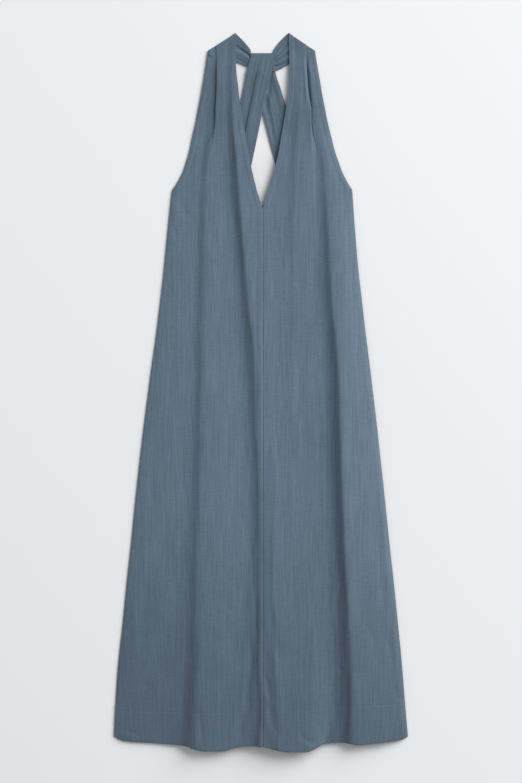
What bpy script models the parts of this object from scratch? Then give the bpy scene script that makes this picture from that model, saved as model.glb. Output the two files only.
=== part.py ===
"""A linen midi dress with a halter neck, laid flat on its back.

Metres, +Z up. The dress lies on the plane z = 0 with its neck towards +Y. The origin is the middle of
its outline, on that plane. Left and right are as seen from above, so left is -X.
Sizes are in millimetres, and a height is the distance up the dress from the origin, along +Y.
Each piece that is cut and sewn is one object: two fronts, a back, a neck band and a looped strap.
"""

from bisect import bisect_right
from math import cos, pi, sin

import bpy

MM = 0.001

# The cloth
CLOTH = 1.2
SEAM_GAP = 0.3
LINEN = (0.133, 0.181, 0.234, 1.0)
LINEN_ROUGHNESS = 0.85

# Heights of the dress's main points
PEAK = 640
SHOULDER_DROP = 32
PLEAT_RELEASE = 500
FOLDS_SETTLED = 408
UNDERARM = 360
V_BOTTOM = 329
HEM_CURVE_START = -550
HEM = -622

# The centre seam, and the level of the lowest cloth of the fronts, which lie on the back
CENTRE = 2.2
BACK_LEVEL = CLOTH / 2
FRONT_LEVEL = BACK_LEVEL + CLOTH + SEAM_GAP


def table(columns, *rows):
    """Rows of numbers under named columns."""
    return dict(zip(columns.split(), zip(*rows)))


# How far out the edges of the fronts lie
ARMHOLE = table(
    "height left right",
    (608, 94.3, 96.0),
    (560, 101.8, 104.2),
    (510, 110.5, 113.2),
    (455, 122.8, 126.8),
    (405, 136.0, 142.3),
    (380, 146.5, 151.5),
    (360, 159.2, 161.4),
)
SIDE_SEAM = table(
    "height left right",
    (360, 159.2, 161.4),
    (342, 161.5, 162.6),
    (271, 168.7, 167.8),
    (164, 180.0, 178.5),
    (21, 198.0, 194.5),
    (-121, 216.5, 210.5),
    (-263, 231.0, 226.5),
    (-406, 245.2, 240.9),
    (-548, 259.4, 255.0),
    (-622, 262.5, 260.5),
)

# Where the neck edges lie across the dress, and how far each is raised off what is below
NECK_EDGE = table(
    "height left right left_raise right_raise",
    (640, -45.3, 49.6, 0.0, 0.0),
    (615, -45.3, 49.6, 1.8, 2.2),
    (588, -45.3, 49.6, 2.0, 3.0),
    (550, -41.0, 48.6, 2.0, 3.5),
    (510, -36.0, 44.5, 2.0, 3.8),
    (460, -29.2, 35.5, 0.6, 1.6),
    (408, -17.7, 25.7, 0.3, 1.2),
    (368, -7.5, 13.8, 0.0, 0.5),
    (329, 2.2, 2.2, 0.0, 0.0),
)

# One knife pleat on each shoulder: where its folded edge lies, how deep the cloth goes back under it
# there, the lift of each layer of the fold, and the share of the neck side that climbs onto it
PLEAT_EDGE = table(
    "height left right",
    (640, -81.4, 80.3),
    (571, -81.4, 81.8),
    (548, -81.4, 85.2),
    (510, -81.4, 89.6),
)
PLEAT_DEPTH = 12
PLEAT_LIFTS = (4.4, 2.7, 2.2, 1.7, 0.0)
PLEAT_RAMP = 0.75

# The long folds of the fronts: each line runs down the dress, and its place across and its lift are
# given at these heights. Lines go from left to right.
FOLD_HEIGHTS = (505, 405, 270, 57, -156, -370, -550, -625)
FOLD_LINES = {
    "left swell": {
        "across": (-93.9, -118.8, -138.4, -147.3, -161.5, -179.3, -193.6, -197.1),
        "lift": (1.0, 1.5, 3.0, 4.5, 5.5, 6.0, 5.0, 4.0),
    },
    "left fold foot": {
        "across": (-85.0, -108.1, -115.3, -120.6, -125.9, -131.3, -134.8, -138.4),
        "lift": (0.5, 1.0, 1.5, 2.0, 2.5, 3.0, 5.5, 7.5),
    },
    "left fold crest": {
        "across": (-81.4, -93.9, -97.5, -97.5, -97.5, -95.7, -95.7, -93.9),
        "lift": (4.4, 3.5, 4.5, 6.0, 8.0, 11.0, 17.0, 20.0),
    },
    "left fold far side": {
        "across": (-69.0, -72.5, -63.6, -54.7, -44.1, -44.1, -54.7, -61.9),
        "lift": (3.5, 3.0, 4.0, 5.5, 7.5, 10.5, 15.5, 18.0),
    },
    "middle fold foot": {
        "across": (-56.5, -56.5, -45.8, -33.4, -19.1, -12.0, -12.0, -13.8),
        "lift": (2.4, 1.8, 1.5, 2.0, 3.0, 4.0, 6.0, 8.0),
    },
    "middle fold crest": {
        "across": (-44.1, -40.5, -24.5, -6.7, 5.8, 16.5, 28.9, 41.4),
        "lift": (3.5, 4.5, 5.5, 7.0, 8.5, 10.0, 13.5, 18.0),
    },
    "right dip": {
        "across": (53.8, 48.5, 48.5, 48.5, 48.5, 48.5, 52.0, 53.8),
        "lift": (2.5, 3.0, 4.0, 5.5, 7.0, 9.5, 15.0, 19.5),
    },
    "right crest": {
        "across": (69.9, 75.2, 77.0, 75.2, 75.2, 75.2, 71.6, 68.1),
        "lift": (4.0, 4.5, 5.5, 7.0, 8.5, 12.0, 18.0, 22.0),
    },
    "right fold near side": {
        "across": (89.8, 91.2, 93.0, 101.9, 110.8, 107.2, 101.9, 93.0),
        "lift": (4.4, 4.0, 4.0, 5.5, 7.0, 10.0, 14.0, 16.0),
    },
    "right fold foot": {
        "across": (93.0, 105.5, 110.8, 116.1, 125.0, 128.6, 123.3, 109.0),
        "lift": (1.2, 1.0, 1.3, 1.4, 1.5, 1.8, 2.0, 2.2),
    },
    "right fold floor": {
        "across": (95.7, 109.0, 116.1, 123.3, 133.9, 139.3, 142.8, 142.8),
        "lift": (1.0, 0.8, 1.0, 1.0, 1.0, 1.0, 1.0, 1.0),
    },
    "right swell": {
        "across": (99.2, 126.8, 137.5, 148.2, 157.1, 166.0, 173.1, 176.7),
        "lift": (1.5, 3.0, 5.0, 7.0, 8.0, 9.0, 9.0, 9.0),
    },
}
# The cloth rolls over to each side seam within this width, from this lift
ROLL_WIDTH = 12
ROLL_LIFT = (1.0, 1.5, 3.0, 4.0, 4.5, 4.5, 4.0, 3.0)
# The columns of each front that follow its steep fold, from the neck side to the side seam
STEEP_FOLD = {
    "left": ("left fold crest", "left fold foot"),
    "right": ("right fold near side", "right fold floor"),
}
# The hem hangs lower where a flute stands higher, and rises over this width to each side seam
FLUTE_DROP = 0.6
CORNER_RISE = 10
CORNER_WIDTH = 32

# The top edge of the back, under the fronts, and its hem, hidden inside theirs
BACK_TOP = table(
    "across height",
    (-158.7, 359.5),
    (-120, 334),
    (-80, 311),
    (-38, 311),
    (2, 300),
    (47, 311),
    (95, 311),
    (130, 334),
    (160.9, 359.5),
)
BACK_INSET = 0.5
BACK_HEM = -616
BACK_CORNER_RISE = 8

# The neck band, from the left shoulder seam behind the neck to the right one
NECK_BAND = table(
    "top_x top_y bottom_x bottom_y level gather",
    (-45.8, 638.0, -93.6, 606.0, 0.0, 0.0),
    (-35.6, 627.5, -69.0, 597.0, 0.0, 0.3),
    (-26.4, 618.5, -45.8, 587.6, 0.5, 0.9),
    (-19.6, 600.8, -22.7, 578.7, 1.5, 0.9),
    (0.4, 599.5, 0.4, 576.0, 1.5, 0.7),
    (21.4, 600.8, 21.8, 576.9, 1.5, 0.9),
    (25.5, 611.8, 48.5, 585.8, 0.5, 1.0),
    (37.0, 625.5, 72.5, 597.5, 0.0, 0.3),
    (49.8, 638.0, 95.2, 608.2, 0.0, 0.0),
)
GATHERS = 3

# The strap: one leg rises from the back on the right, turns over the neck band and falls to the left
STRAP_END = 311 + SEAM_GAP
LOOP_AXIS = 601.6
LOOP_RADIUS = 2.0
RISING_LEG = table(
    "height left right level step",
    (311, 47.8, 93.7, 0.0, 0.0),
    (413, 22.5, 68.1, 0.0, 0.8),
    (496, 2.2, 46.7, 0.0, 0.8),
    (540, -8.5, 35.3, 0.0, 0.0),
    (574, -16.8, 26.6, 0.0, 0.0),
    (602, -18.1, 20.2, 0.0, 0.0),
)
FALLING_LEG = table(
    "height left right level step",
    (311, -78.2, -38.2, 0.0, 0.0),
    (420, -56.5, -14.7, 0.0, 0.0),
    (460, -48.4, -6.4, 0.6, 1.0),
    (496, -41.0, 1.2, 1.5, 1.2),
    (533, -33.7, 10.2, 1.5, 1.2),
    (556, -29.0, 15.0, 2.6, 1.2),
    (574, -25.4, 19.6, 4.0, 1.0),
    (602, -18.1, 20.2, 4.0, 0.0),
)
STEP_START = 0.40
STEP_END = 0.55


def clamp(value):
    return min(max(value, 0.0), 1.0)


def ease(value):
    """0 to 1 with a soft start and end."""
    part = clamp(value)
    return part * part * (3 - 2 * part)


def blend(a, b, part):
    return a + (b - a) * part


def smooth_curve(places, values):
    """A smooth curve through points that never swings past them."""
    points = sorted(zip(places, values))
    places = [place for place, _ in points]
    values = [value for _, value in points]
    steps = [after - before for before, after in zip(places, places[1:])]
    rises = [(after - before) / step for before, after, step in zip(values, values[1:], steps)]
    slopes = [rises[0]]
    for before, after in zip(rises, rises[1:]):
        slopes.append(2 * before * after / (before + after) if before * after > 0 else 0.0)
    slopes.append(rises[-1])

    def value_at(place):
        if place <= places[0]:
            return values[0]
        if place >= places[-1]:
            return values[-1]
        i = bisect_right(places, place) - 1
        t = (place - places[i]) / steps[i]
        start = values[i] + t * steps[i] * slopes[i]
        end = values[i + 1] - (1 - t) * steps[i] * slopes[i + 1]
        return blend(start, end, ease(t))

    return value_at


def column_curve(rows, name, along="height"):
    return smooth_curve(rows[along], rows[name])


ARMHOLE_OUT = {side: column_curve(ARMHOLE, side) for side in ("left", "right")}
SIDE_OUT = {side: column_curve(SIDE_SEAM, side) for side in ("left", "right")}
NECK_X = {side: column_curve(NECK_EDGE, side) for side in ("left", "right")}
NECK_RAISE = {side: column_curve(NECK_EDGE, side + "_raise") for side in ("left", "right")}
PLEAT_X = {side: column_curve(PLEAT_EDGE, side) for side in ("left", "right")}
FOLD_X = {name: smooth_curve(FOLD_HEIGHTS, line["across"]) for name, line in FOLD_LINES.items()}
FOLD_LIFT = {name: smooth_curve(FOLD_HEIGHTS, line["lift"]) for name, line in FOLD_LINES.items()}
ROLL_LIFT_AT = smooth_curve(FOLD_HEIGHTS, ROLL_LIFT)
OUTWARD = {"left": -1, "right": 1}


def outer_x(side, height):
    """The armhole above the underarm point and the side seam below it."""
    edges = ARMHOLE_OUT if height > UNDERARM else SIDE_OUT
    return OUTWARD[side] * edges[side](height)


def section(height):
    """The lift of the fronts across the dress at one height, as a curve of x."""
    lift = ROLL_LIFT_AT(height)
    left, right = outer_x("left", height), outer_x("right", height)
    points = [(left, 0.0), (left + ROLL_WIDTH, lift), (right - ROLL_WIDTH, lift), (right, 0.0)]
    points += [(FOLD_X[name](height), FOLD_LIFT[name](height)) for name in FOLD_LINES]
    return smooth_curve(*zip(*points))


# The fronts are sheets of cloth on a grid: columns from the centre to the side, rows from the top down
INNER_COLUMNS = 14
FOLD_COLUMNS = 4
OUTER_COLUMNS = 8
ROW_SPANS = table(
    "top bottom rows",
    (PEAK, UNDERARM, 12),
    (UNDERARM, V_BOTTOM, 1),
    (V_BOTTOM, HEM_CURVE_START, 14),
    (HEM_CURVE_START, HEM, 3),
)
NECK_RAISE_WIDTH = 0.45


def row_heights():
    heights = [PEAK]
    for top, bottom, rows in zip(*ROW_SPANS.values()):
        heights += [blend(top, bottom, row / rows) for row in range(1, rows + 1)]
    return heights


def inner_x(side, height):
    """The neck edge, and below it the centre seam."""
    if height > V_BOTTOM:
        return NECK_X[side](height) + OUTWARD[side] * SEAM_GAP / 2
    return CENTRE + OUTWARD[side] * SEAM_GAP / 2


def fold_offsets(side, height):
    """How far out each fold column lies from the first one, from the closed pleat to the open fold."""
    near, far = STEEP_FOLD[side]
    width = abs(FOLD_X[far](height) - FOLD_X[near](height))
    opened = ease((PLEAT_RELEASE - height) / (PLEAT_RELEASE - FOLDS_SETTLED))
    depth = PLEAT_DEPTH * clamp((height - PLEAT_RELEASE) / (PEAK - PLEAT_RELEASE))
    closed = (0.0, 0.0, -depth / 2, -depth, -depth)
    return [blend(closed[i], width * i / FOLD_COLUMNS, opened) for i in range(FOLD_COLUMNS + 1)]


def front_row(side, height):
    """The x and lift of each column of one front, at one height."""
    out = OUTWARD[side]
    drop = SHOULDER_DROP * clamp((height - PLEAT_RELEASE) / (PEAK - PLEAT_RELEASE))
    start, end = inner_x(side, height), outer_x(side, height - drop)
    settled = FOLD_X[STEEP_FOLD[side][0]](height)
    opened = ease((PLEAT_RELEASE - height) / (PLEAT_RELEASE - FOLDS_SETTLED))
    pleat = blend(PLEAT_X[side](height), settled, opened)
    offsets = fold_offsets(side, height)
    raised = NECK_RAISE[side](height)

    xs = [blend(start, pleat, i / INNER_COLUMNS) for i in range(INNER_COLUMNS)]
    xs += [pleat + out * offset for offset in offsets]
    last = xs[-1]
    xs += [blend(last, end, i / OUTER_COLUMNS) for i in range(1, OUTER_COLUMNS + 1)]

    ramp = INNER_COLUMNS * PLEAT_RAMP
    held = [blend(raised, PLEAT_LIFTS[0], ease(i / ramp)) for i in range(INNER_COLUMNS)]
    held += list(PLEAT_LIFTS)
    held += [0.0] * OUTER_COLUMNS
    if height >= PLEAT_RELEASE:
        return xs, held
    lift_at = section(height)
    loose = [lift_at(x) for x in xs]
    for i in range(INNER_COLUMNS):
        loose[i] += raised * (1 - ease(i / INNER_COLUMNS / NECK_RAISE_WIDTH))
    return xs, [blend(a, b, opened) for a, b in zip(held, loose)]


def corner_rise(side, x, height, rise):
    inside = abs(outer_x(side, height)) - abs(x)
    return rise * (1 - ease(inside / CORNER_WIDTH)) ** 2


def front_place(side):
    """Places each point of a front's grid."""
    heights = row_heights()
    rows = [front_row(side, height) for height in heights]
    peak = rows[0][0][0]
    slope = SHOULDER_DROP / abs(rows[0][0][-1] - peak)

    def place(column, row):
        height = heights[row]
        x, lift = rows[row][0][column], rows[row][1][column]
        to_shoulder = clamp((height - PLEAT_RELEASE) / (PEAK - PLEAT_RELEASE))
        to_hem = clamp((height - HEM_CURVE_START) / (HEM - HEM_CURVE_START))
        y = height - slope * abs(x - peak) * to_shoulder
        y += to_hem * (corner_rise(side, x, HEM, CORNER_RISE) - FLUTE_DROP * lift)
        return x, y, FRONT_LEVEL + lift

    return place, INNER_COLUMNS + FOLD_COLUMNS + OUTER_COLUMNS, len(heights) - 1


def back_place():
    """Places each point of the back, one flat panel between the side seams."""
    rows, columns_each = 10, 2
    stations = range(len(BACK_TOP["across"]))
    across = smooth_curve(stations, BACK_TOP["across"])
    top = column_curve(BACK_TOP, "height", "across")
    first, last = across(stations[0]), across(stations[-1])

    def place(column, row):
        top_x = across(column / columns_each)
        height = blend(UNDERARM - BACK_INSET, BACK_HEM, row / rows)
        left = outer_x("left", height) + BACK_INSET
        right = outer_x("right", height) - BACK_INSET
        x = blend(left, right, (top_x - first) / (last - first))
        side = "left" if x < CENTRE else "right"
        hem = BACK_HEM + corner_rise(side, x, BACK_HEM, BACK_CORNER_RISE)
        return x, blend(top(top_x), hem, row / rows), BACK_LEVEL

    return place, columns_each * stations[-1], rows


def band_place():
    """Places each point of the neck band, gathered where the strap grips it."""
    columns, rows_each = 9, 2
    stations = range(len(NECK_BAND["level"]))
    curves = {name: smooth_curve(stations, values) for name, values in NECK_BAND.items()}

    def place(column, row):
        station, across = row / rows_each, column / columns
        x = blend(curves["top_x"](station), curves["bottom_x"](station), across)
        y = blend(curves["top_y"](station), curves["bottom_y"](station), across)
        ripple = curves["gather"](station) * (1 - cos(2 * pi * GATHERS * across)) / 2
        return x, y, CLOTH / 2 + curves["level"](station) + ripple

    return place, columns, rows_each * (len(stations) - 1)


def strap_rows():
    """The strap from its right end up to the neck band, round it, and down to its left end."""
    leg_rows, turn_rows = 12, 6

    def leg(rows, height):
        return {name: column_curve(rows, name)(height) for name in rows} | {"height": height}

    heights = [blend(STRAP_END, LOOP_AXIS, i / leg_rows) for i in range(leg_rows + 1)]
    rising = [leg(RISING_LEG, height) for height in heights]
    falling = [leg(FALLING_LEG, height) for height in reversed(heights)]
    turn = []
    for i in range(1, turn_rows):
        angle = pi * i / turn_rows
        station = dict(rising[-1])
        station["height"] = LOOP_AXIS + LOOP_RADIUS * sin(angle)
        station["level"] = LOOP_RADIUS * (1 - cos(angle))
        turn.append(station)
    return rising + turn + falling


def strap_place():
    """Places each point of the strap, whose right part lies in a soft step over its left part."""
    columns = 7
    stations = strap_rows()

    def place(column, row):
        station, across = stations[row], column / columns
        x = blend(station["left"], station["right"], across)
        step = station["step"] * ease((across - STEP_START) / (STEP_END - STEP_START))
        return x, station["height"], CLOTH / 2 + station["level"] + step

    return place, columns, len(stations) - 1


def linen(name):
    material = bpy.data.materials.new(name)
    material.use_nodes = True
    shader = material.node_tree.nodes["Principled BSDF"]
    shader.inputs["Base Color"].default_value = LINEN
    shader.inputs["Roughness"].default_value = LINEN_ROUGHNESS
    shader.inputs["Metallic"].default_value = 0.0
    return material


def cloth_piece(name, place, columns, rows, collection):
    """A sheet of cloth: a flat grid whose points are placed one by one, then thickened."""
    bpy.ops.mesh.primitive_grid_add(x_subdivisions=columns, y_subdivisions=rows, size=1)
    piece = bpy.context.active_object
    piece.name = name
    piece.data.name = name
    for vertex in piece.data.vertices:
        column = round((vertex.co.x + 0.5) * columns)
        row = round((0.5 - vertex.co.y) * rows)
        vertex.co = [size * MM for size in place(column, row)]
    wall = piece.modifiers.new("wall", "SOLIDIFY")
    wall.thickness = CLOTH * MM
    wall.offset = 0
    wall.use_even_offset = True
    piece.data.materials.append(linen(name + "_linen"))
    for owner in list(piece.users_collection):
        owner.objects.unlink(piece)
    collection.objects.link(piece)
    return piece


def main():
    for existing in list(bpy.data.objects):
        bpy.data.objects.remove(existing)
    dress = bpy.data.collections.new("midi_dress")
    bpy.context.scene.collection.children.link(dress)
    cloth_piece("back", *back_place(), dress)
    cloth_piece("back_strap", *strap_place(), dress)
    cloth_piece("neck_band", *band_place(), dress)
    for side in ("left", "right"):
        cloth_piece("front_" + side, *front_place(side), dress)


main()
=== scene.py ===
# %% [markdown]
# A linen midi dress lies flat on its back on a pale table and is seen from straight above. A maker cuts
# few pieces for it: two fronts, a back, a band behind the neck and one long strap looped round that band.
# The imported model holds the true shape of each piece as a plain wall. It could be painted and left so, but
# linen is thin, creased and sewn. So each piece is laid out again here as fine cloth on the same form, and
# the plain wall behind it is hidden. All sizes are in millimetres until they go into a mesh.

from math import cos, hypot, pi, radians, sin

import bpy
import numpy as np
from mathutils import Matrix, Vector, noise


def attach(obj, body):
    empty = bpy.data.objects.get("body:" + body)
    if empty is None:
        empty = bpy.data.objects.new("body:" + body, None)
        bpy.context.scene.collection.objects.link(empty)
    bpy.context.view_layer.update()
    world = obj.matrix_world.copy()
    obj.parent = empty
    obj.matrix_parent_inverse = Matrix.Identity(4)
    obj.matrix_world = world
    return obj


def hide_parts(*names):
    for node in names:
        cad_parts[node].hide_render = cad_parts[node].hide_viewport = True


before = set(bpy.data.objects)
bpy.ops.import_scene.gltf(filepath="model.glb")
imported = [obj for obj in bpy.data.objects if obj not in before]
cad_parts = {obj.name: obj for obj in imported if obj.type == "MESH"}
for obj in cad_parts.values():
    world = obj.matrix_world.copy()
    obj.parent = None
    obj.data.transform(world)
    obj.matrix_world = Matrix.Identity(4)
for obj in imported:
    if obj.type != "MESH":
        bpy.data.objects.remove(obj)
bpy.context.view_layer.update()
bpy.ops.object.select_all(action="DESELECT")
MM = 0.001

# %% [markdown]
# The outline and the folds follow short tables, as a pattern cutter's chart does: sizes at a few heights
# up the dress, and a smooth curve between them. A spline would be the usual tool, but it can swing past
# its points and make cloth cross itself. The curve used here has slopes that never overshoot.

# %% Tables and smooth curves
def table(columns, *rows):
    """Rows of numbers under named columns."""
    return dict(zip(columns.split(), np.array(rows, float).T))


def clamp(value):
    return np.clip(value, 0.0, 1.0)


def ease(value):
    """0 to 1 with a soft start and end."""
    part = clamp(value)
    return part * part * (3 - 2 * part)


def blend(a, b, part):
    return a + (b - a) * part


def smooth_curve(places, values):
    """A smooth curve through points that never swings past them."""
    order = np.argsort(places)
    places = np.array(places, float)[order]
    values = np.array(values, float)[order]
    steps = np.diff(places)
    rises = np.diff(values) / steps
    product = rises[:-1] * rises[1:]
    total = rises[:-1] + rises[1:]
    inner = np.where(product > 0, 2 * product / np.where(product > 0, total, 1.0), 0.0)
    slopes = np.concatenate((rises[:1], inner, rises[-1:]))

    def value_at(place):
        place = np.clip(place, places[0], places[-1])
        i = np.clip(np.searchsorted(places, place, side="right") - 1, 0, len(steps) - 1)
        t = (place - places[i]) / steps[i]
        start = values[i] + t * steps[i] * slopes[i]
        end = values[i + 1] - (1 - t) * steps[i] * slopes[i + 1]
        return blend(start, end, ease(t))

    return value_at


def column_curve(rows, name, along="height"):
    return smooth_curve(rows[along], rows[name])


# %% [markdown]
# These are the main heights and edges of the dress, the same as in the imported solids. Height is the
# distance up the dress from its middle, and left and right are as seen from above. The cloth itself is
# thinner than the solids: mid-weight linen is about half a millimetre, and a turned edge is three layers.

# %% The outline
CLOTH = 0.55
TURNED_EDGE = 1.3
PEAK = 640
SHOULDER_DROP = 32
PLEAT_RELEASE = 500
FOLDS_SETTLED = 408
UNDERARM = 360
V_BOTTOM = 327
HEM_CURVE_START = -550
HEM = -622
CENTRE = 2.2
HALF_SEAM = 0.15
FRONT_LEVEL = 2.1
SIDES = ("left", "right")
OUTWARD = {"left": -1, "right": 1}

ARMHOLE = table(
    "height left right",
    (608, 95.4, 95.0),
    (560, 103.3, 103.4),
    (510, 111.8, 112.0),
    (455, 123.2, 124.0),
    (405, 136.0, 138.9),
    (380, 146.5, 149.5),
    (360, 159.2, 161.4),
)
SIDE_SEAM = table(
    "height left right",
    (360, 159.2, 161.4),
    (342, 161.5, 162.6),
    (271, 168.7, 167.8),
    (164, 180.0, 178.5),
    (21, 198.8, 195.8),
    (-121, 216.5, 212.0),
    (-263, 231.5, 227.0),
    (-406, 246.4, 242.2),
    (-548, 259.4, 255.0),
    (-622, 262.5, 260.5),
)
NECK_EDGE = table(
    "height left right left_raise right_raise",
    (640, -45.5, 48.1, 0.0, 0.0),
    (615, -45.5, 48.6, 1.8, 2.2),
    (588, -45.3, 49.2, 2.0, 3.0),
    (550, -42.0, 48.4, 2.0, 3.5),
    (510, -37.2, 43.8, 2.0, 3.8),
    (460, -29.2, 35.5, 0.6, 1.6),
    (408, -19.6, 25.7, 0.3, 1.2),
    (368, -10.4, 13.8, 0.0, 0.5),
    (349, -5.0, 8.0, 0.0, 0.2),
    (327, 2.2, 2.2, 0.0, 0.0),
)
ARMHOLE_OUT = {side: column_curve(ARMHOLE, side) for side in SIDES}
SIDE_OUT = {side: column_curve(SIDE_SEAM, side) for side in SIDES}
NECK_X = {side: column_curve(NECK_EDGE, side) for side in SIDES}
NECK_RAISE = {side: column_curve(NECK_EDGE, side + "_raise") for side in SIDES}


def outer_x(side, height):
    """The armhole above the underarm point and the side seam below it."""
    edges = ARMHOLE_OUT if height > UNDERARM else SIDE_OUT
    return OUTWARD[side] * edges[side](height)


def inner_x(side, height):
    """The neck edge, and below it the centre seam."""
    edge = NECK_X[side](height) if height > V_BOTTOM else CENTRE
    return edge + OUTWARD[side] * HALF_SEAM


print("length in mm:", PEAK - HEM, "width at the hem:", outer_x("right", HEM) - outer_x("left", HEM))

# %% [markdown]
# The fronts hang in long folds that run from the shoulder pleats to the hem, where they stand up in soft
# flutes. Each fold is a line down the dress with its place across and its lift at eight heights. Across
# the dress, one smooth curve through all the lines gives the cloth's lift.

# %% The long folds
FOLD_HEIGHTS = (505, 405, 270, 57, -156, -370, -550, -625)
FOLD_LINES = {
    "left swell": {
        "across": (-93.9, -118.8, -138.4, -147.3, -161.5, -179.3, -193.6, -197.1),
        "lift": (1.0, 1.3, 2.0, 2.6, 2.8, 2.8, 2.8, 2.6),
    },
    "left fold foot": {
        "across": (-85.0, -108.1, -115.3, -120.6, -126.0, -134.0, -141.0, -146.0),
        "lift": (0.5, 1.0, 1.5, 2.3, 3.2, 4.0, 5.0, 5.6),
    },
    "left fold crest": {
        "across": (-81.4, -93.9, -97.5, -99.0, -101.0, -104.0, -108.0, -112.0),
        "lift": (4.4, 3.5, 4.2, 5.2, 6.5, 9.0, 13.0, 15.0),
    },
    "left fold far side": {
        "across": (-69.0, -72.5, -63.6, -54.7, -44.1, -44.1, -54.7, -61.9),
        "lift": (3.5, 2.7, 2.6, 3.3, 4.5, 6.8, 10.8, 13.0),
    },
    "middle fold foot": {
        "across": (-56.5, -56.5, -46.0, -33.4, -19.1, -17.0, -15.0, -14.0),
        "lift": (2.4, 1.8, 1.8, 2.4, 3.6, 6.0, 9.4, 11.2),
    },
    "middle fold crest": {
        "across": (-44.1, -40.5, -28.0, -6.7, 5.8, 12.0, 24.0, 36.0),
        "lift": (3.5, 4.2, 4.6, 5.4, 6.2, 8.0, 11.5, 14.0),
    },
    "right dip": {
        "across": (53.8, 48.5, 48.5, 48.5, 48.5, 48.5, 52.0, 53.8),
        "lift": (2.5, 3.0, 3.6, 4.6, 5.8, 8.4, 12.6, 15.2),
    },
    "right crest": {
        "across": (69.9, 75.2, 77.0, 75.2, 75.2, 75.2, 73.0, 72.0),
        "lift": (4.0, 3.6, 3.9, 4.8, 6.0, 8.8, 13.2, 15.8),
    },
    "right fold near side": {
        "across": (88.0, 90.0, 92.0, 101.9, 108.0, 107.2, 103.0, 98.0),
        "lift": (4.4, 2.8, 2.9, 3.7, 4.6, 7.0, 10.6, 13.0),
    },
    "right fold foot": {
        "across": (91.0, 98.0, 102.0, 113.0, 119.0, 127.0, 129.0, 118.0),
        "lift": (1.2, 1.3, 2.0, 2.6, 3.2, 4.0, 4.0, 3.4),
    },
    "right fold floor": {
        "across": (95.0, 101.0, 107.0, 120.0, 126.0, 135.0, 142.0, 143.0),
        "lift": (1.0, 1.2, 1.8, 2.4, 3.0, 3.4, 3.0, 2.4),
    },
    "right swell": {
        "across": (97.0, 117.0, 134.0, 147.0, 154.0, 164.0, 173.0, 176.0),
        "lift": (1.3, 2.0, 4.8, 6.0, 6.6, 7.2, 7.6, 8.0),
    },
}
SIDE_ROLLS = {
    "left": {
        "width": (10, 10, 18, 26, 28, 28, 28, 28),
        "lift": (0.7, 1.0, 1.6, 2.0, 2.2, 2.1, 2.0, 1.8),
    },
    "right": {
        "width": (12, 12, 12, 12, 12, 12, 12, 12),
        "lift": (1.0, 1.5, 2.6, 3.4, 3.8, 3.9, 3.6, 3.0),
    },
}
ROLL_WIDTH = {side: smooth_curve(FOLD_HEIGHTS, roll["width"]) for side, roll in SIDE_ROLLS.items()}
ROLL_LIFT = {side: smooth_curve(FOLD_HEIGHTS, roll["lift"]) for side, roll in SIDE_ROLLS.items()}
STEEP_FOLD = {
    "left": ("left fold crest", "left fold foot"),
    "right": ("right fold near side", "right fold floor"),
}
FOLD_X = {name: smooth_curve(FOLD_HEIGHTS, line["across"]) for name, line in FOLD_LINES.items()}
FOLD_LIFT = {name: smooth_curve(FOLD_HEIGHTS, line["lift"]) for name, line in FOLD_LINES.items()}


def section(height):
    """The lift of the fronts across the dress at one height, as a curve of x."""
    points = [(FOLD_X[name](height), FOLD_LIFT[name](height)) for name in FOLD_LINES]
    for side in SIDES:
        edge = outer_x(side, height)
        points += [(edge, 0.0), (edge - OUTWARD[side] * ROLL_WIDTH[side](height), ROLL_LIFT[side](height))]
    return smooth_curve(*zip(*points))


print("lift across the hem in mm:", [round(float(section(HEM)(x)), 1) for x in (-250, -200, -95, -14, 68, 140, 180)])

# %% [markdown]
# Each shoulder has one knife pleat: the cloth turns back under itself and out again, in a flat Z. It could
# be faked as a groove, but a groove has no shadow under its edge. So some of the columns of the grid walk
# along the Z, with a small round turn at each fold, and open into the long fold lower down. The seam at the
# shoulder presses the pleat flatter, and the cloth outside the pleat swells a little beside it.

# %% One row of a front
INNER_COLUMNS = 60
FOLD_COLUMNS = 18
OUTER_COLUMNS = 34
SEAM_CROWDING = 0.45
PLEAT_EDGE = table(
    "height left right left_swell right_swell",
    (640, -80.3, 78.4, 3.6, 0.0),
    (612, -79.7, 78.6, 3.0, 4.0),
    (600, -79.4, 78.9, 1.6, 6.0),
    (579, -79.3, 80.2, 0.6, 7.4),
    (529, -80.3, 84.2, 0.8, 7.0),
    (505, -81.8, 87.4, 0.5, 4.0),
)
PLEAT_X = {side: column_curve(PLEAT_EDGE, side) for side in SIDES}
PLEAT_SWELL = {side: column_curve(PLEAT_EDGE, side + "_swell") for side in SIDES}
SWELL_CLIMB = 4.0
SWELL_RUN = 24.0
PLEAT_DEPTH = 12
PLEAT_TURN = 0.8
PLEAT_TOP = 4.4
PLEAT_RAMP = 0.75
PLEAT_WALK = (0.0, 0.25, 0.5, 0.75, 1.0)
PLEAT_BACK = smooth_curve(PLEAT_WALK, (0.0, 0.0, 0.5, 1.0, 1.0))
PLEAT_LIFT = smooth_curve(PLEAT_WALK, (PLEAT_TOP, 2.7, 2.2, 1.7, 0.0))
SHOULDER_PRESS = smooth_curve((640, 617, 589, 560), (0.30, 0.34, 0.75, 1.0))
NECK_RAISE_WIDTH = 0.45


def fold_offsets(side, height, to_shoulder, opened):
    """How far out each fold column lies from the first, from the closed pleat to the open fold."""
    near, far = STEEP_FOLD[side]
    walk = np.linspace(0, 1, FOLD_COLUMNS + 1)
    width = abs(FOLD_X[far](height) - FOLD_X[near](height))
    turns = np.sin(pi * clamp(walk / 0.25)) - np.sin(pi * clamp((walk - 0.75) / 0.25))
    closed = PLEAT_TURN * turns - PLEAT_DEPTH * to_shoulder * PLEAT_BACK(walk)
    return blend(closed, width * walk, opened), PLEAT_LIFT(walk)


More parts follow.
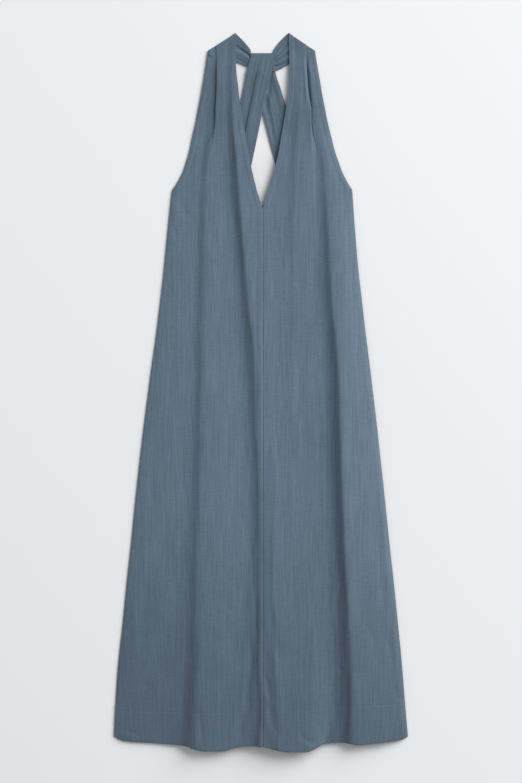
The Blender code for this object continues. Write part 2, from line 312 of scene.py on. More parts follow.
def front_row(side, height):
    """The x and the lift of each column of one front, from the centre to the side."""
    out = OUTWARD[side]
    to_shoulder = clamp((height - PLEAT_RELEASE) / (PEAK - PLEAT_RELEASE))
    opened = ease((PLEAT_RELEASE - height) / (PLEAT_RELEASE - FOLDS_SETTLED))
    start = inner_x(side, height)
    end = outer_x(side, height - SHOULDER_DROP * to_shoulder)
    pleat = blend(PLEAT_X[side](height), FOLD_X[STEEP_FOLD[side][0]](height), opened)
    offsets, fold_lift = fold_offsets(side, height, to_shoulder, opened)
    raised = NECK_RAISE[side](height)

    even = np.arange(INNER_COLUMNS) / INNER_COLUMNS
    share = even * blend(1.0, even, SEAM_CROWDING)
    inner = blend(start, pleat, share)
    fold = pleat + out * offsets
    outer = np.linspace(fold[-1], end, OUTER_COLUMNS + 1)[1:]
    x = np.concatenate((inner, fold, outer))

    past_slit = np.maximum(out * (outer - pleat), 0.0)
    swell = PLEAT_SWELL[side](height) * (1 - np.exp(-past_slit / SWELL_CLIMB)) * np.exp(-past_slit / SWELL_RUN)
    held = np.concatenate((
        blend(raised, PLEAT_TOP, ease(share / PLEAT_RAMP)),
        fold_lift,
        swell,
    )) * SHOULDER_PRESS(height)
    if opened == 0:
        return x, held
    loose = section(height)(x)
    loose[:INNER_COLUMNS] += raised * (1 - ease(share / NECK_RAISE_WIDTH))
    return x, blend(held, loose, opened)


print("columns in a front:", INNER_COLUMNS + FOLD_COLUMNS + OUTER_COLUMNS)

# %% [markdown]
# Each long fold has a narrow crest along it. The cloth climbs to the crest more and more steeply on the
# left and falls away slowly on the right, so light from the right leaves a dark streak on its left flank.
# Each crest is a line down the dress with its own rise, with a smaller one beside some of them.

# %% The crests of the folds
CREST_HEIGHTS = (600, 540, 484, 413, 342, 271, 164, 57, -50, -156, -263, -370, -477, -548, -628)
CRESTS = {
    "left": {
        "across": (-80, -80, -82, -94, -104, -104, -105, -106, -110, -111, -115, -117, -118, -121, -128),
        "rise": (0.0, 0.0, 0.5, 0.8, 0.9, 1.0, 1.2, 1.6, 2.0, 2.4, 2.4, 2.1, 1.9, 1.6, 1.5),
        "soft": 9.0,
        "run": 60.0,
    },
    "middle": {
        "across": (-53, -51.5, -50, -44, -39, -33, -24, -12.5, -9.5, -5.5, -3.5, -3, -3, -2, -2),
        "rise": (0.7, 4.4, 6.2, 6.0, 5.5, 5.0, 5.0, 5.0, 4.6, 3.4, 3.3, 4.0, 5.0, 5.4, 6.4),
        "soft": 8.0,
        "run": 70.0,
    },
    "right": {
        "across": (90, 90, 96, 110, 116, 120, 125, 135, 139, 142.5, 147, 152, 155.5, 158, 157),
        "rise": (0.0, 0.5, 1.9, 3.0, 4.1, 6.0, 8.6, 10.2, 11.8, 12.9, 12.7, 12.0, 11.0, 10.2, 9.2),
        "soft": 13.0,
        "run": 46.0,
    },
    "right companion": {
        "across": (110, 110, 110, 110, 110, 110, 110, 110, 115, 118, 122, 128, 129.5, 131, 131),
        "rise": (0.0, 0.0, 0.0, 0.0, 0.0, 0.0, 0.0, 0.0, 0.0, 0.0, 0.3, 0.9, 1.2, 1.2, 1.0),
        "soft": 6.5,
        "run": 15.0,
    },
    "beside the seam": {
        "across": (15, 15, 15, 15, 15, 15, 15, 15, 16, 24, 21, 24, 25, 28, 30),
        "rise": (0.0, 0.0, 0.0, 0.0, 0.0, 0.0, 0.0, 0.0, 0.3, 1.4, 2.0, 2.3, 2.8, 2.7, 2.2),
        "soft": 8.5,
        "run": 30.0,
    },
    "right chest": {
        "across": (68, 67, 65, 61, 59, 58, 58, 56, 54, 53, 52, 50, 50, 50, 50),
        "rise": (0.3, 0.9, 1.7, 2.1, 2.0, 1.5, 1.0, 1.4, 1.0, 0.8, 0.8, 0.4, 0.0, 0.0, 0.0),
        "soft": 8.0,
        "run": 25.0,
    },
}
CREST_ROUND = 3.0
CREST_X = {name: smooth_curve(CREST_HEIGHTS, crest["across"]) for name, crest in CRESTS.items()}
CREST_RISE = {name: smooth_curve(CREST_HEIGHTS, crest["rise"]) for name, crest in CRESTS.items()}


def crest_lift(x, height):
    """How far the crests raise each point."""
    total = np.zeros_like(x)
    for name, crest in CRESTS.items():
        off = x - CREST_X[name](height)
        away = np.sqrt(off**2 + CREST_ROUND**2) - CREST_ROUND
        reach = np.where(off < 0, crest["soft"], crest["run"])
        total += CREST_RISE[name](height) * np.exp(-away / reach)
    return total


print("crests:", ", ".join(CRESTS))

# %% [markdown]
# Linen creases. A crease is a soft trough with a slight ridge on one side, and it fades at both ends. A
# cloth simulation would crease at random, so the main creases of this dress are listed one by one, each with
# its own ends, bow, width and depth. A low noise adds the slight cockle of washed linen between them.

# %% Creases
CREASE_FADE = 0.3
CREASE_SHOULDER = 0.4
FRONT_CREASES = table(
    "x y to_x to_y bow width lift",
    (-94, 606, -84, 600, 1, 3, 1.0),
    (79.5, 612, 88, 500, 1, 2.6, -1.6),
    (-60, 628, -63, 520, 1, 7, -0.5),
    (62, 628, 66, 540, -1, 6, -0.5),
    (-57, 560, -55, 400, 2, 7, -0.7),
    (-120, 470, -141, 250, 3, 9, -0.5),
    (118, 500, 138, 330, -4, 9, -0.6),
    (12, 289, 46, 283, 1, 4, -0.35),
    (55, 200, 70, 188, -1, 4, -0.4),
    (-150, 352, -118, 300, 5, 6, -0.5),
    (153, 350, 122, 290, -5, 7, -0.6),
    (-158, 300, -140, 262, 2, 5, -0.35),
    (160, 262, 138, 205, 3, 6, -0.45),
    (30, 250, 27, 60, 2, 8, -0.4),
    (66, 120, 62, -70, -2, 9, -0.5),
    (-72, 190, -78, -30, 3, 9, -0.4),
    (-160, 120, -166, -60, -3, 10, -0.5),
    (-141, -120, -138, -190, 1, 5, -0.5),
    (-186, -40, -197, -230, 3, 10, -0.5),
    (-19, -278, -17, -290, 0, 4, -0.9),
    (-6, -230, -3, -400, -2, 5, -0.6),
    (-7, -330, -4, -480, 3, 4.5, -0.9),
    (-4, -470, -8, -624, -2, 5, -1.0),
    (-14, -424, -24, -600, 3, 6, -0.9),
    (-32, -560, -38, -624, 1, 6, -0.8),
    (19, -380, 32, -484, 2, 6, -0.8),
    (4, -492, 17, -552, -1, 5, -0.9),
    (15, -545, 34, -622, 3, 6.5, -1.0),
    (141, -300, 129, -400, -2, 4, -0.9),
    (129, -390, 131, -622, 1, 4, -0.9),
    (142, -320, 153, -415, 2, 4, -0.9),
    (153, -405, 149, -622, -2, 4, -0.9),
    (136, -486, 148, -496, 3, 3, -0.9),
    (189, -410, 205, -452, 2, 6, -0.45),
    (222, -438, 234, -494, -2, 5, -0.5),
    (234, -520, 250, -548, 2, 4, -0.8),
    (212, -300, 219, -395, 2, 6, -0.6),
    (196, -150, 203, -290, -2, 7, -0.5),
    (-228, -524, -196, -515, 2, 4, -0.6),
    (-248, -600, -214, -614, -2, 4, -0.6),
    (-205, -330, -212, -480, 2, 8, -0.6),
    (62, -603, 98, -624, 2, 4, -0.9),
    (102, -585, 105, -612, 0, 4, -0.7),
    (-110, -560, -104, -625, 1, 6, -0.7),
)
COCKLE_LIFT = 0.22


def crease_lift(x, y, creases):
    """How far the creases raise or lower each point."""
    total = np.zeros_like(x)
    for from_x, from_y, to_x, to_y, bow, width, lift in zip(*creases.values()):
        run_x, run_y = to_x - from_x, to_y - from_y
        length = hypot(run_x, run_y)
        along = ((x - from_x) * run_x + (y - from_y) * run_y) / length**2
        off = ((x - from_x) * run_y - (y - from_y) * run_x) / length - bow * 4 * along * (1 - along)
        ends = ease(along / CREASE_FADE) * ease((1 - along) / CREASE_FADE)
        trough = np.exp(-((off / width) ** 2))
        ridge = np.exp(-((off / width - 2) ** 2))
        total += lift * ends * (trough - CREASE_SHOULDER * ridge)
    return total


def cockle(x, y):
    """The slight unevenness of washed linen, longer down the dress than across it."""
    long_waves = [noise.noise(Vector((px / 17, py / 75, 0.3))) for px, py in zip(x.flat, y.flat)]
    cross_waves = [noise.noise(Vector((px / 34, py / 12, 7.1))) for px, py in zip(x.flat, y.flat)]
    return COCKLE_LIFT * (np.array(long_waves) + 0.45 * np.array(cross_waves)).reshape(x.shape)


print("creases on the fronts:", len(FRONT_CREASES["x"]))

# %% [markdown]
# The centre seam joins the two fronts. Its allowances are pressed to the left and held by a line of
# stitching about 6 mm from the seam, which reads as a fine double line. The hem is turned up inside by
# 62 mm and held by blind stitches, so it is doubled cloth and ends in a round fold. Both are made as real
# layers and steps in the grid, because they catch the light and show from a low angle.

# %% The sheet of a front
TOPSTITCH = 6.0
HEM_DEPTH = 62
HEM_TURN = 0.34
TURN_STEPS = (45, 90, 135, 180)
HEM_EDGE = table(
    "across edge",
    (-262, -611.0),
    (-254, -616.5),
    (-236, -620.5),
    (-194, -623.0),
    (-161, -625.5),
    (-135, -627.5),
    (-117, -633.0),
    (-97, -636.0),
    (-69, -636.0),
    (-53, -632.0),
    (-33, -628.0),
    (-5, -627.5),
    (20, -632.0),
    (52, -637.0),
    (75, -637.0),
    (89, -634.0),
    (100, -629.0),
    (111, -624.0),
    (150, -622.0),
    (173, -625.0),
    (195, -623.0),
    (234, -619.3),
    (255, -615.0),
    (261, -611.0),
)
HEM_EDGE_Y = column_curve(HEM_EDGE, "edge", "across")
HEM_LINE_Y = smooth_curve((-262, -100, 0, 100, 180, 262), (-567, -569, -567, -562, -556, -554))
HEM_STEP = 0.12
HEM_GROOVE = 0.16
SHOULDER_ROLL = 1.7
SIDE_ROLL = 3.0
SIDE_ROLL_DROP = 0.3
LOWEST = 1.2
LOWEST_AT_HEM = 2.4
UNDER_INSET = 3.0


def row_heights():
    """Closer rows at the shoulder roll and at the stitched hem line, and even spans between."""
    roll = PEAK - np.array((0.0, 0.15, 0.5, 1.0, 1.7, 2.8))
    upper = np.linspace(roll[-1], V_BOTTOM, 92)[1:]
    skirt = np.linspace(V_BOTTOM, -548, 176)[1:]
    hem_line = np.linspace(-548, -574, 31)[1:]
    hem = np.linspace(-574, HEM, 17)[1:]
    return np.concatenate((roll, upper, skirt, hem_line, hem))


def seam_relief(side, x, height):
    """The centre seam: cloth dips into the seam, and its pressed allowances lift the left front."""
    off = np.abs(x - CENTRE)
    below_v = ease((V_BOTTOM + 4 - height) / 12)
    relief = -0.75 * np.exp(-((off / 0.9) ** 2))
    if side == "left":
        relief += 0.35 * (1 - ease((off - 7.5) / 2.5)) - 0.4 * np.exp(-(((off - TOPSTITCH) / 0.9) ** 2))
    return relief * below_v


def hem_relief(x, y):
    """The doubled hem stands a little proud, below the groove where its stitches pull the cloth in."""
    below = HEM_LINE_Y(x) - y
    return HEM_STEP * ease((below + 1.5) / 3.0) - HEM_GROOVE * np.exp(-((below / 1.1) ** 2))


def front_sheet(side):
    """The points of one front, row by row from the shoulder down to the hem."""
    heights = row_heights()
    shape = [front_row(side, height) for height in heights]
    x = np.array([row[0] for row in shape])
    lift = np.array([row[1] for row in shape])
    height = np.repeat(heights[:, None], x.shape[1], axis=1)
    to_shoulder = clamp((height - PLEAT_RELEASE) / (PEAK - PLEAT_RELEASE))
    to_hem = clamp((height - HEM_CURVE_START) / (HEM - HEM_CURVE_START))
    slope = SHOULDER_DROP / abs(x[0, -1] - x[0, 0])

    y = height - slope * np.abs(x - x[0, 0]) * to_shoulder
    y += to_hem**2 * (HEM_EDGE_Y(x) - HEM)

    z = FRONT_LEVEL + lift + seam_relief(side, x, height) + crest_lift(x, height)
    z += crease_lift(x, y, FRONT_CREASES) + cockle(x, y) + hem_relief(x, y)
    down =clamp((SHOULDER_ROLL - (PEAK - height)) / SHOULDER_ROLL)
    z -= SHOULDER_ROLL * (1 - np.sqrt(1 - down**2))
    z -= SIDE_ROLL_DROP * (1 - ease(np.abs(x[:, -1:] - x) / SIDE_ROLL)) * (height < PEAK - 4)
    z = np.maximum(z, blend(LOWEST, LOWEST_AT_HEM, ease((HEM + HEM_DEPTH + 10 - height) / 8)))
    return np.stack((x, y, z), axis=2)


def turn_hem(sheet, turn, depth):
    """Adds the round fold at the hem and the allowance that lies inside."""
    edge = sheet[-1]
    fold = [edge - [0, turn * sin(radians(a)), turn * (1 - cos(radians(a)))] for a in TURN_STEPS]
    inside = [row - [0, 0, 2 * turn] for row in sheet[-2::-1] if abs(row[0, 1] - edge[0, 1]) < depth]
    under = np.array(fold + inside)
    for column, neighbour in ((-1, -2),):
        under[len(fold):, column, 0] -= np.sign(under[len(fold):, column, 0]) * UNDER_INSET
        under[len(fold):, column, 2] = under[len(fold):, neighbour, 2]
    return np.concatenate((sheet, under))


front_sheets = {side: turn_hem(front_sheet(side), HEM_TURN, HEM_DEPTH) for side in SIDES}
print("grid of a front:", front_sheets["left"].shape[:2])

# %% [markdown]
# A sheet becomes a mesh in the way that a garment is laid out: a flat grid of cloth whose points are set
# down one by one. Solidify gives it thickness, more where a turned edge doubles it, and the sharp rim is
# bevelled so that edges are round like a fold. The grid also gets a UV map in millimetres of cloth, so
# that the weave follows every piece along its own threads.

# %% From a sheet of points to cloth
RIM_ANGLE = 65
RIM_ROUND = 0.18
SMOOTH_ANGLE = 55


def run_length(points, axis):
    """The distance walked along the cloth, row by row or column by column."""
    steps = np.linalg.norm(np.diff(points, axis=axis), axis=2)
    start = np.zeros_like(np.take(steps, [0], axis=axis))
    return np.concatenate((start, np.cumsum(steps, axis=axis)), axis=axis)


def select_only(piece):
    bpy.ops.object.select_all(action="DESELECT")
    piece.select_set(True)
    bpy.context.view_layer.objects.active = piece


def cloth_piece(name, points, across, along, wall=CLOTH, doubled=None):
    """Lays a grid out on the points, thickens it and rounds its rim."""
    rows, columns = points.shape[0] - 1, points.shape[1] - 1
    bpy.ops.mesh.primitive_grid_add(x_subdivisions=columns, y_subdivisions=rows, size=1)
    piece = bpy.context.active_object
    piece.name = name
    mesh = piece.data
    flat = np.empty(len(mesh.vertices) * 3)
    mesh.vertices.foreach_get("co", flat)
    flat = flat.reshape(-1, 3)
    column = np.rint((flat[:, 0] + 0.5) * columns).astype(int)
    row = np.rint((0.5 - flat[:, 1]) * rows).astype(int)
    mesh.vertices.foreach_set("co", (points[row, column] * MM).ravel())

    corners = np.empty(len(mesh.loops), int)
    mesh.loops.foreach_get("vertex_index", corners)
    threads = np.stack((across[row, column][corners], along[row, column][corners]), axis=1)
    mesh.uv_layers[0].name = "cloth_mm"
    mesh.uv_layers[0].data.foreach_set("uv", threads.ravel())

    solid = piece.modifiers.new("wall", "SOLIDIFY")
    solid.thickness = wall * MM
    solid.offset = 0
    if doubled is not None:
        group = piece.vertex_groups.new(name="doubled")
        for step in range(1, 11):
            members = np.flatnonzero(np.rint(doubled[row, column] * 10) == step)
            group.add(members.tolist(), step / 10, "REPLACE")
        solid.thickness = TURNED_EDGE * MM
        solid.vertex_group = "doubled"
        solid.thickness_vertex_group = wall / TURNED_EDGE
    bpy.ops.object.modifier_apply(modifier="wall")
    piece.vertex_groups.clear()

    bpy.ops.object.mode_set(mode="EDIT")
    bpy.ops.mesh.select_mode(type="EDGE")
    bpy.ops.mesh.select_all(action="DESELECT")
    bpy.ops.mesh.edges_select_sharp(sharpness=radians(RIM_ANGLE))
    bpy.ops.mesh.bevel(offset=RIM_ROUND * MM, segments=2, affect="EDGES")
    bpy.ops.object.mode_set(mode="OBJECT")
    bpy.ops.object.shade_smooth_by_angle(angle=radians(SMOOTH_ANGLE))
    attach(piece, "root")
    triangles = sum(len(face.vertices) - 2 for face in mesh.polygons)
    print(name, "triangles:", triangles, "cloth in square metres:", round(sheet_area(points), 4))
    return piece


def sheet_area(points):
    """The area of the sheet in square metres."""
    across = np.diff(points, axis=1)[:-1]
    along = np.diff(points, axis=0)[:, :-1]
    return float(np.linalg.norm(np.cross(across, along), axis=2).sum()) * MM**2


# %% [markdown]
# The two fronts come first, because everything else lies under them. Their neck edges and armholes are
# turned under by 8 mm, which shows as a slightly thicker band along the edge, and so are the allowances
# of the centre seam.

# %% The fronts
EDGE_BAND = 8.0


def doubled_edges(side, points):
    """1 where a turned edge doubles the cloth, 0 elsewhere."""
    heights = points[:, :1, 1]
    from_centre = run_length(points, 1)
    from_side = from_centre[:, -1:] - from_centre
    neck = 1 - ease((from_centre - EDGE_BAND) / 1.5)
    armhole = (1 - ease((from_side - EDGE_BAND) / 1.5)) * (heights > UNDERARM)
    if side == "right":
        neck = neck * (heights > V_BOTTOM)
    return np.maximum(neck * ease((heights - HEM - 70) / 6), armhole)


fronts = {}
for side in SIDES:
    points = front_sheets[side]
    across = run_length(points, 1) + np.abs(points[:, :1, 0] - CENTRE)
    along = np.repeat(run_length(points, 0)[:, 40:41], points.shape[1], axis=1)
    fronts[side] = cloth_piece(f"front_{side}_cloth", points, across, along, doubled=doubled_edges(side, points))
    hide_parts(f"front_{side}")

# %% [markdown]
# The back is one panel under the fronts. It rests on the table, so its underside is flat, and its own
# creases only rise from the table, as creases in a weighted layer do. Its hem is turned in like the
# others.

# %% The back
BACK_LEVEL = 0.38
BACK_INSET = 0.5
BACK_HEM = -616
BACK_HEM_INSET = 5
BACK_TOP = table(
    "across height",
    (-158.7, 359.5),
    (-120, 334),
    (-80, 311),
    (-38, 311),
    (2, 300),
    (47, 311),
    (95, 311),
    (130, 334),
    (160.9, 359.5),
)
BACK_CREASES = table(
    "x y to_x to_y bow width lift",
    (-60, 250, -75, 40, 5, 8, 0.5),
    (48, 240, 60, 10, -4, 9, 0.6),
    (-96, 60, -100, -240, 4, 9, 1.2),
    (-20, 130, -12, -160, -3, 8, 1.0),
    (74, -40, 80, -330, 4, 10, 1.5),
    (12, -180, 24, -470, -4, 9, 1.6),
    (-88, -260, -84, -520, 3, 10, 1.8),
    (66, -350, 62, -530, -2, 9, 1.6),
    (-60, -420, -44, -540, 3, 6, 0.9),
    (30, 60, 66, 40, 2, 6, 0.4),
    (-70, -60, -30, -84, -3, 6, 0.5),
)


def back_sheet():
    """The points of the back, from its top edge to its hem."""
    stations = np.linspace(0, len(BACK_TOP["across"]) - 1, 73)
    top_x = smooth_curve(np.arange(len(BACK_TOP["across"])), BACK_TOP["across"])(stations)
    top_y = column_curve(BACK_TOP, "height", "across")(top_x)
    part = (top_x - top_x[0]) / (top_x[-1] - top_x[0])
    rows = []
    for down in np.linspace(0, 1, 181):
        height = blend(UNDERARM - BACK_INSET, BACK_HEM, down)
        x = blend(outer_x("left", height) + BACK_INSET, outer_x("right", height) - BACK_INSET, part)
        y = blend(top_y, np.maximum(BACK_HEM, HEM_EDGE_Y(x) + BACK_HEM_INSET), down)
        rows.append(np.stack((x, y), axis=1))
    flat = np.array(rows)
    x, y = flat[..., 0], flat[..., 1]
    z = BACK_LEVEL + np.maximum(crease_lift(x, y, BACK_CREASES), 0.0)
    return np.stack((x, y, z), axis=2)


def turn_back_hem(sheet):
    """The back's hem allowance lies on the back, inside the dress."""
    mirrored = sheet * [1, 1, -1]
    return turn_hem(mirrored, HEM_TURN, HEM_DEPTH - 2) * [1, 1, -1]


back_points = turn_back_hem(back_sheet())
back_along = np.repeat(run_length(back_points, 0)[:, 36:37], back_points.shape[1], axis=1)
back = cloth_piece("back_cloth", back_points, run_length(back_points, 1), back_along)
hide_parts("back")

# %% [markdown]
# The neck band is a folded strip that runs behind the neck from one shoulder seam to the other. The strap
# grips it in the middle, so its cloth gathers there. On the left one deep fold runs into the grip, and on
# the right four smaller gathers fan out from it. Each is a line on the band with its own depth.

# %% The neck band
BAND_WALL = 0.9
BAND_LEVEL = 0.6
BAND_PUFF = 1.5
NECK_BAND = table(
    "top_x top_y bottom_x bottom_y level",
    (-45.8, 639.0, -93.6, 606.0, 0.0),
    (-35.6, 628.9, -66.0, 597.0, 0.6),
    (-26.4, 618.6, -45.8, 588.6, 1.2),
    (-19.4, 608.4, -28.0, 580.6, 1.3),
    (-17.0, 600.6, -19.0, 577.5, 1.5),
    (0.4, 599.5, 0.4, 575.0, 1.5),
    (18.6, 600.6, 19.6, 571.5, 1.5),
    (21.0, 608.4, 27.5, 573.5, 1.3),
    (25.5, 615.6, 47.5, 583.6, 1.2),
    (36.4, 629.0, 72.5, 597.5, 0.5),
    (48.3, 640.2, 94.4, 608.2, 0.0),
)
BAND_GATHERS = table(
    "station across to_station to_across width lift",
    (0.1, 0.45, 4.5, 0.25, 0.060, -2.4),
    (0.4, 0.00, 4.3, 0.02, 0.200, 1.0),
    (0.6, 0.62, 4.4, 0.44, 0.090, 0.6),
    (1.4, 0.86, 3.8, 0.82, 0.060, -0.5),
    (6.2, 0.24, 9.7, 0.08, 0.070, -1.3),
    (6.2, 0.42, 9.7, 0.22, 0.060, -1.5),
    (6.2, 0.56, 9.2, 0.58, 0.060, -1.6),
    (6.2, 0.76, 8.8, 0.90, 0.060, -1.6),
    (6.2, 0.33, 9.7, 0.15, 0.055, 0.8),
    (6.2, 0.49, 9.4, 0.42, 0.055, 0.7),
    (6.2, 0.67, 9.0, 0.74, 0.060, 0.9),
)


def band_sheet():
    """The points of the neck band, row by row from the left shoulder to the right."""
    places = np.arange(len(NECK_BAND["level"]))
    curves = {name: smooth_curve(places, values) for name, values in NECK_BAND.items()}
    station = np.linspace(0, places[-1], 151)[:, None]
    across = np.linspace(0, 1, 37)[None, :]
    x = blend(curves["top_x"](station), curves["bottom_x"](station), across)
    y = blend(curves["top_y"](station), curves["bottom_y"](station), across)
    z = BAND_LEVEL + curves["level"](station) + np.zeros_like(x)
    for start, from_across, end, to_across, width, lift in zip(*BAND_GATHERS.values()):
        part = (station - start) / (end - start)
        fade = ease(part / 0.25) * ease((1 - part) / 0.25)
        line = blend(from_across, to_across, part)
        z += lift * fade * np.exp(-(((across - line) / width) ** 2))
    z += BAND_PUFF * ease((station - 1.2) / 1.6) * ease((8.8 - station) / 1.6) * np.sin(pi * across)
    return np.stack((x, y, np.maximum(z, BAND_LEVEL)), axis=2)


band_points = band_sheet()
band = cloth_piece("neck_band_cloth", band_points, run_length(band_points, 1), run_length(band_points, 0), BAND_WALL)
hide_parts("neck_band")

# %% [markdown]
# The strap is one flat tube of linen. It rises from the back on the right, turns over the neck band and
# falls to the left, where its right part lies over its left in a lengthwise fold. It is one sheet that
# follows that route, so the two legs cross and the loop really goes round the band.

# %% The strap
STRAP_WALL = 1.0
STRAP_LEVEL = 0.6
STRAP_END = 311.3
LOOP_AXIS = 601.6
LOOP_RADIUS = 2.0
RISING_LEG = table(
    "height left right level step",
    (311, 47.8, 93.7, 0.0, 0.0),
    (413, 22.5, 68.1, 0.6, 0.8),
    (496, 2.2, 46.7, 1.7, 0.6),
    (540, -8.5, 34.2, 1.7, 0.0),
    (574, -16.8, 24.0, 0.8, 0.0),
    (602, -18.1, 20.2, 0.0, 0.0),
)
FALLING_LEG = table(
    "height left right level step",
    (311, -78.2, -38.2, 0.0, 0.0),
    (420, -56.5, -14.7, 0.0, 0.0),
    (460, -48.4, -6.4, 0.6, 1.6),
    (496, -41.0, 1.2, 1.7, 2.0),
    (533, -33.7, 9.6, 2.2, 2.0),
    (556, -29.4, 14.2, 3.0, 1.6),
    (574, -25.8, 18.6, 4.0, 1.0),
    (602, -18.1, 20.2, 4.0, 0.0),
)
STEP_START = 0.40
STEP_END = 0.46
LEG_ROWS = 84
TURN_ROWS = 14
LOOP_FOLDS = table(
    "y to_y across to_across width lift",
    (604, 500, 0.24, 0.20, 0.050, -0.35),
    (604, 470, 0.66, 0.70, 0.055, -0.35),
    (604, 560, 0.84, 0.88, 0.040, -0.30),
    (590, 440, 0.56, 0.58, 0.080, 0.35),
    (560, 380, 0.12, 0.14, 0.050, 0.30),
)
RISING_FOLDS = table(
    "y to_y across to_across width lift",
    (584, 488, 0.94, 0.00, 0.085, -1.7),
    (545, 420, 0.42, 0.30, 0.060, 0.7),
    (545, 400, 0.28, 0.14, 0.080, -0.5),
    (585, 480, 0.74, 0.66, 0.060, -0.45),
    (590, 470, 0.88, 0.86, 0.050, 0.35),
    (500, 370, 0.62, 0.56, 0.070, -0.4),
)


def leg_rows(rows, heights):
    leg = {name: column_curve(rows, name)(heights) for name in rows}
    leg["height"] = heights
    return leg


def strap_folds(y, across, folds):
    """Soft folds that run along a leg, each from one height to another."""
    total = np.zeros((len(y), len(across)))
    for top, bottom, start, end, width, lift in zip(*folds.values()):
        part = ((top - y) / (top - bottom))[:, None]
        fade = ease(part / 0.15) * ease((1 - part) / 0.3)
        total += lift * fade * np.exp(-(((across - blend(start, end, part)) / width) ** 2))
    return total


def strap_sheet():
    """The points of the strap from its right end, up, round the band and down to its left end."""
    across = np.linspace(0, 1, 41)
    heights = np.linspace(STRAP_END, LOOP_AXIS, LEG_ROWS + 1)
    rising = leg_rows(RISING_LEG, heights)
    falling = leg_rows(FALLING_LEG, heights[::-1])
    angle = np.linspace(0, pi, TURN_ROWS + 1)[1:-1]
    top = leg_rows(RISING_LEG, np.full(len(angle), LOOP_AXIS))
    top["height"] = LOOP_AXIS + LOOP_RADIUS * np.sin(angle)
    top["level"] = LOOP_RADIUS * (1 - np.cos(angle))
    route = {name: np.concatenate((rising[name], top[name], falling[name])) for name in rising}

    x = blend(route["left"][:, None], route["right"][:, None], across)
    y = np.repeat(route["height"][:, None], len(across), axis=1)
    step = route["step"][:, None] * ease((across - STEP_START) / (STEP_END - STEP_START))
    z = STRAP_LEVEL + route["level"][:, None] + step
    first = len(heights)
    z[:first] += strap_folds(rising["height"], across, RISING_FOLDS)
    z[first:] += strap_folds(route["height"][first:], across, LOOP_FOLDS)
    return np.stack((x, y, np.maximum(z, STRAP_LEVEL)), axis=2)


strap_points = strap_sheet()
strap = cloth_piece("back_strap_cloth", strap_points, run_length(strap_points, 1), run_length(strap_points, 0), STRAP_WALL)
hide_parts("back_strap")

# %% [markdown]
# Stitches show in two places: the line beside the centre seam, and the blind stitches that hold the hem,
# of which only a small bite of thread comes through. One stitch is a small stretched bead. It is modelled
# once and copied along each line, and each line is joined into one mesh.

# %% Stitches
STITCH_FACES = 6


def evenly(line, spacing):
    """Places and directions at even spacing along a line of points."""
    steps = np.linalg.norm(np.diff(line, axis=0), axis=1)
    walked = np.concatenate(([0.0], np.cumsum(steps)))
    at = np.arange(spacing, walked[-1] - spacing / 2, spacing)
    places = np.stack([np.interp(at, walked, line[:, i]) for i in range(3)], axis=1)
    ahead = np.stack([np.interp(at + 1.0, walked, line[:, i]) for i in range(3)], axis=1)
    behind = np.stack([np.interp(at - 1.0, walked, line[:, i]) for i in range(3)], axis=1)
    ways = ahead - behind
    return places, ways / np.linalg.norm(ways, axis=1)[:, None]


def one_stitch(length, thickness):
    """The points and faces of one stitch, a bead stretched along X."""
    bpy.ops.mesh.primitive_uv_sphere_add(segments=STITCH_FACES, ring_count=5, radius=0.5, rotation=(0, radians(90), 0))
    bpy.ops.object.transform_apply(location=False, rotation=True, scale=False)
    bead = bpy.context.active_object
    points = np.array([vertex.co for vertex in bead.data.vertices]) * (length, thickness, thickness)
    faces = [tuple(face.vertices) for face in bead.data.polygons]
    mesh = bead.data
    bpy.data.objects.remove(bead)
    bpy.data.meshes.remove(mesh)
    return points, faces


def sew(name, lines, spacing, length, thickness, proud):
    """Copies one stitch along each line, lying on the cloth, and joins the copies."""
    bead, bead_faces = one_stitch(length, thickness)
    points, faces = [], []
    for line in lines:
        for place, way in zip(*evenly(line, spacing)):
            beside = np.cross((0.0, 0.0, 1.0), way)
            beside /= np.linalg.norm(beside)
            axes = np.array((way, beside, np.cross(way, beside)))
            faces += [tuple(len(points) + corner for corner in face) for face in bead_faces]
            points += list((bead @ axes + place + (0, 0, proud)) * MM)
    mesh = bpy.data.meshes.new(name)
    mesh.from_pydata(points, [], faces)
    piece = bpy.data.objects.new(name, mesh)
    bpy.context.scene.collection.objects.link(piece)
    select_only(piece)
    bpy.ops.object.shade_smooth()
    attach(piece, "root")
    print(name, "stitches:", len(points) // len(bead))
    return piece


def line_beside_seam(points, off):
    """A line down the left front, a set distance from the centre seam."""
    rows = points[(points[:, 0, 1] < V_BOTTOM - 6)]
    rows = rows[: int(np.argmin(rows[:, 0, 1]))]
    x = CENTRE - off
    height = [np.interp(-x, -row[:, 0], row[:, 2]) for row in rows]
    return np.array([(x, row[0, 1], z) for row, z in zip(rows, height)])


def line_along_hem(points):
    """The line across a front where the hem is stitched."""
    bottom = int(np.argmin(points[:, 0, 1]))
    line = []
    for column in range(1, points.shape[1] - 2):
        x, y, z = points[:bottom, column].T
        row = int(np.argmin(np.abs(y - HEM_LINE_Y(x))))
        line.append((x[row], y[row], z[row]))
    return np.array(line)


topstitch = sew(
    "centre_topstitch", [line_beside_seam(front_sheets["left"], TOPSTITCH)],
    spacing=3.0, length=2.5, thickness=0.36, proud=CLOTH / 2 + 0.02,
)
hem_stitches = sew(
    "hem_blind_stitches", [line_along_hem(front_sheets[side]) for side in SIDES],
    spacing=8.0, length=1.1, thickness=0.36, proud=CLOTH / 2,
)

# %% [markdown]
# Materials are written as arithmetic. A small class wraps a socket, so that an expression such as 1 - mask
# adds its own Math node, and one method adds any other node. This keeps a weave formula readable, where a
# drawn node tree would be dozens of boxes.

